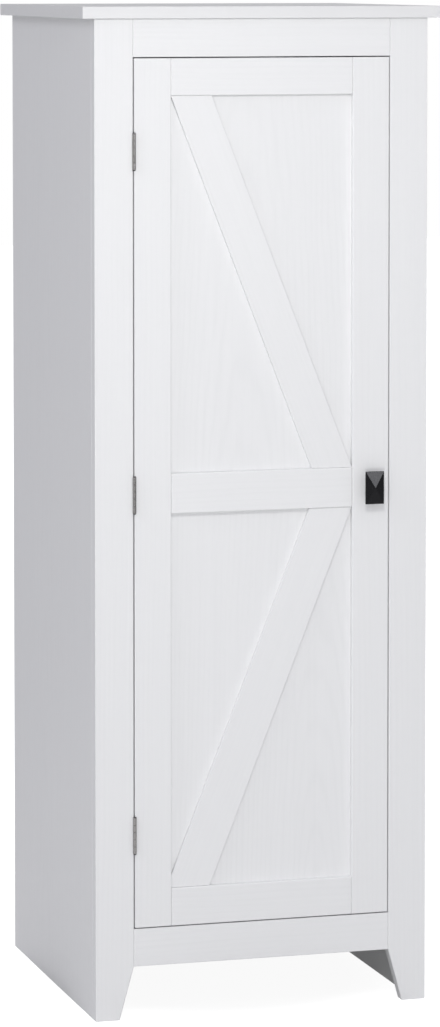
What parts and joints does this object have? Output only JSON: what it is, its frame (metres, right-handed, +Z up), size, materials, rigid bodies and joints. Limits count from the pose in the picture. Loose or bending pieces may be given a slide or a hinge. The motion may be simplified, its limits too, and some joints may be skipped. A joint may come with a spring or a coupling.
{
  "type": "broom cupboard",
  "caption": "Tall narrow white painted wood cupboard with a face frame, tapered feet, one braced panel door on butt hinges, a hat shelf and a peg rail.",
  "frame": {"origin": "middle of the whole footprint (knob included) at floor level", "axes": "+Z up, +X to the right of someone facing the door, +Y to the back; the door faces -Y and its hinges are at -X"},
  "size_m": [0.656, 0.63, 1.78],
  "materials": {
    "white_paint": "satin white paint over a fine wood grain",
    "back_board": "matt white-faced hardboard",
    "beech": "bare beech",
    "nickel": "satin nickel plate",
    "zinc": "bright zinc plate",
    "steel": "bare steel",
    "black_metal": "satin black",
    "magnet": "dull dark grey",
    "white_plastic": "white moulded plastic"
  },
  "bodies": {
    "cabinet": {"top_board": "white_paint", "left_side_panel": "white_paint", "right_side_panel": "white_paint", "bottom_board": "white_paint", "top_back_rail": "white_paint", "bottom_back_rail": "white_paint", "upper_back_panel": "back_board", "lower_back_panel": "back_board", "back_seam_strip": "white_plastic", "back_nails": "steel", "left_frame_stile": "white_paint", "right_frame_stile": "white_paint", "top_frame_rail": "white_paint", "bottom_frame_rail": "white_paint", "cam_locks": "zinc", "cam_bolts": "zinc", "carcass_dowels": "beech", "frame_dowels": "beech", "hat_shelf": "white_paint", "shelf_pins": "zinc", "peg_rail": "white_paint", "broom_peg_1": "white_paint", "broom_peg_2": "white_paint", "broom_peg_3": "white_paint", "broom_peg_4": "white_paint", "lower_hinge_frame_leaf": "nickel", "middle_hinge_frame_leaf": "nickel", "upper_hinge_frame_leaf": "nickel", "lower_hinge_pin": "nickel", "middle_hinge_pin": "nickel", "upper_hinge_pin": "nickel", "hinge_frame_screws": "nickel", "catch_body": "white_plastic", "catch_pole_plates": "steel", "catch_magnet": "magnet", "catch_screws": "zinc"},
    "door": {"door_hinge_stile": "white_paint", "door_knob_stile": "white_paint", "door_top_rail": "white_paint", "door_middle_rail": "white_paint", "door_bottom_rail": "white_paint", "upper_door_panel": "white_paint", "lower_door_panel": "white_paint", "upper_brace": "white_paint", "lower_brace": "white_paint", "brace_screws": "zinc", "lower_hinge_door_leaf": "nickel", "middle_hinge_door_leaf": "nickel", "upper_hinge_door_leaf": "nickel", "hinge_door_screws": "nickel", "knob": "black_metal", "knob_washer": "zinc", "knob_screw": "zinc", "strike_plate": "steel", "strike_screw": "zinc"}
  },
  "joints": [
    {"name": "door_swing", "type": "hinge", "parent": "cabinet", "child": "door", "pos_m": [-0.2345, -0.2924, 0.9275], "axis": [0, 0, -1], "range_deg": [0, 175]}
  ]
}
